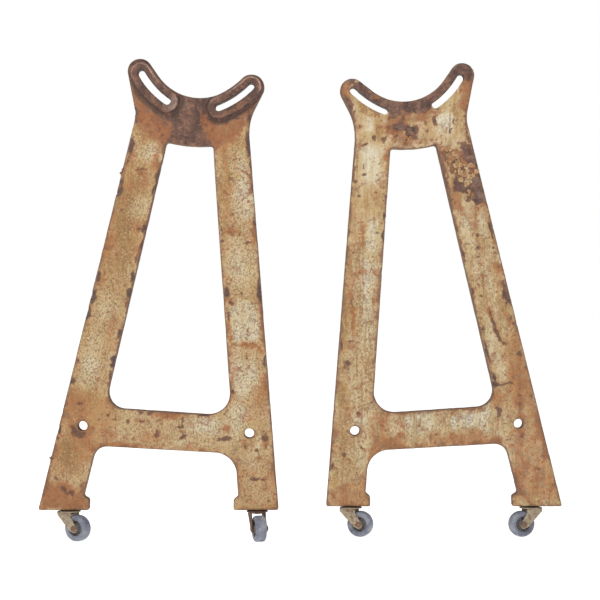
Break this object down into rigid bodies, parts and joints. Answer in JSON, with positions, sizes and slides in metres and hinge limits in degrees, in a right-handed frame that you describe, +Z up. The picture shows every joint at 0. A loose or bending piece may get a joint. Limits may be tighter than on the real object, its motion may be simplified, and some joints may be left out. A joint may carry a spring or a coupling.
{
  "type": "machine leg pair on casters",
  "caption": "Pair of cast-iron A-frame machine legs, each with a slotted saddle on top, a pierced crossbar and a small swivel caster under each foot.",
  "frame": {"origin": "middle of the pair's box in X and Y, on the floor under the wheels", "axes": "+X along the row of two legs, from the left leg to the right leg; -Y towards the side that shows the left leg's pads; +Z up"},
  "size_m": [0.8106, 0.0962, 0.7405],
  "materials": {
    "worn_paint_on_iron": "crazed cream paint worn through to rust and bare iron",
    "aged_zinc": "dulled zinc plate with brown stains",
    "dull_steel": "dull, oily",
    "rusted_steel": "rusted",
    "dark_hub": "matte, dirty",
    "grey_rubber": "matte grey rubber"
  },
  "bodies": {
    "left_leg": {"left_frame": "worn_paint_on_iron", "left_outer_stem": "dull_steel", "left_outer_top_race": "aged_zinc", "left_outer_low_race": "aged_zinc", "left_inner_stem": "dull_steel", "left_inner_top_race": "aged_zinc", "left_inner_low_race": "aged_zinc"},
    "right_leg": {"right_frame": "worn_paint_on_iron", "right_outer_stem": "dull_steel", "right_outer_top_race": "aged_zinc", "right_outer_low_race": "aged_zinc", "right_inner_stem": "dull_steel", "right_inner_top_race": "aged_zinc", "right_inner_low_race": "aged_zinc"},
    "left_outer_swivel": {"left_outer_fork": "aged_zinc", "left_outer_ball_ring": "dull_steel", "left_outer_axle_rivet": "rusted_steel", "left_outer_axle_washer": "dull_steel", "left_outer_axle_sleeve": "dull_steel"},
    "left_outer_wheel": {"left_outer_hub": "dark_hub", "left_outer_tyre": "grey_rubber"},
    "left_inner_swivel": {"left_inner_fork": "aged_zinc", "left_inner_ball_ring": "dull_steel", "left_inner_axle_rivet": "rusted_steel", "left_inner_axle_washer": "dull_steel", "left_inner_axle_sleeve": "dull_steel"},
    "left_inner_wheel": {"left_inner_hub": "dark_hub", "left_inner_tyre": "grey_rubber"},
    "right_outer_swivel": {"right_outer_fork": "aged_zinc", "right_outer_ball_ring": "dull_steel", "right_outer_axle_rivet": "rusted_steel", "right_outer_axle_washer": "dull_steel", "right_outer_axle_sleeve": "dull_steel"},
    "right_outer_wheel": {"right_outer_hub": "dark_hub", "right_outer_tyre": "grey_rubber"},
    "right_inner_swivel": {"right_inner_fork": "aged_zinc", "right_inner_ball_ring": "dull_steel", "right_inner_axle_rivet": "rusted_steel", "right_inner_axle_washer": "dull_steel", "right_inner_axle_sleeve": "dull_steel"},
    "right_inner_wheel": {"right_inner_hub": "dark_hub", "right_inner_tyre": "grey_rubber"}
  },
  "joints": [
    {"name": "leg_spacing", "type": "slide", "parent": "left_leg", "child": "right_leg", "axis": [1, 0, 0], "range_m": [0, 0.4]},
    {"name": "left_outer_swivel_turn", "type": "hinge", "parent": "left_leg", "child": "left_outer_swivel", "pos_m": [-0.3576, -0.0135, 0.045], "axis": [0, 0, 1], "continuous": true},
    {"name": "left_outer_wheel_roll", "type": "hinge", "parent": "left_outer_swivel", "child": "left_outer_wheel", "pos_m": [-0.3448, -0.02031, 0.02], "axis": [0.4695, 0.8829, 0], "continuous": true},
    {"name": "left_inner_swivel_turn", "type": "hinge", "parent": "left_leg", "child": "left_inner_swivel", "pos_m": [-0.0696, -0.0135, 0.045], "axis": [0, 0, 1], "continuous": true},
    {"name": "left_inner_wheel_roll", "type": "hinge", "parent": "left_inner_swivel", "child": "left_inner_wheel", "pos_m": [-0.06634, -0.02763, 0.02], "axis": [0.9744, 0.225, 0], "continuous": true},
    {"name": "right_outer_swivel_turn", "type": "hinge", "parent": "right_leg", "child": "right_outer_swivel", "pos_m": [0.3562, 0.0315, 0.045], "axis": [0, 0, 1], "continuous": true},
    {"name": "right_outer_wheel_roll", "type": "hinge", "parent": "right_outer_swivel", "child": "right_outer_wheel", "pos_m": [0.34219, 0.02775, 0.02], "axis": [0.2588, -0.9659, 0], "continuous": true},
    {"name": "right_inner_swivel_turn", "type": "hinge", "parent": "right_leg", "child": "right_inner_swivel", "pos_m": [0.0766, 0.0315, 0.045], "axis": [0, 0, 1], "continuous": true},
    {"name": "right_inner_wheel_roll", "type": "hinge", "parent": "right_inner_swivel", "child": "right_inner_wheel", "pos_m": [0.09039, 0.02702, 0.02], "axis": [0.309, 0.9511, 0], "continuous": true}
  ]
}
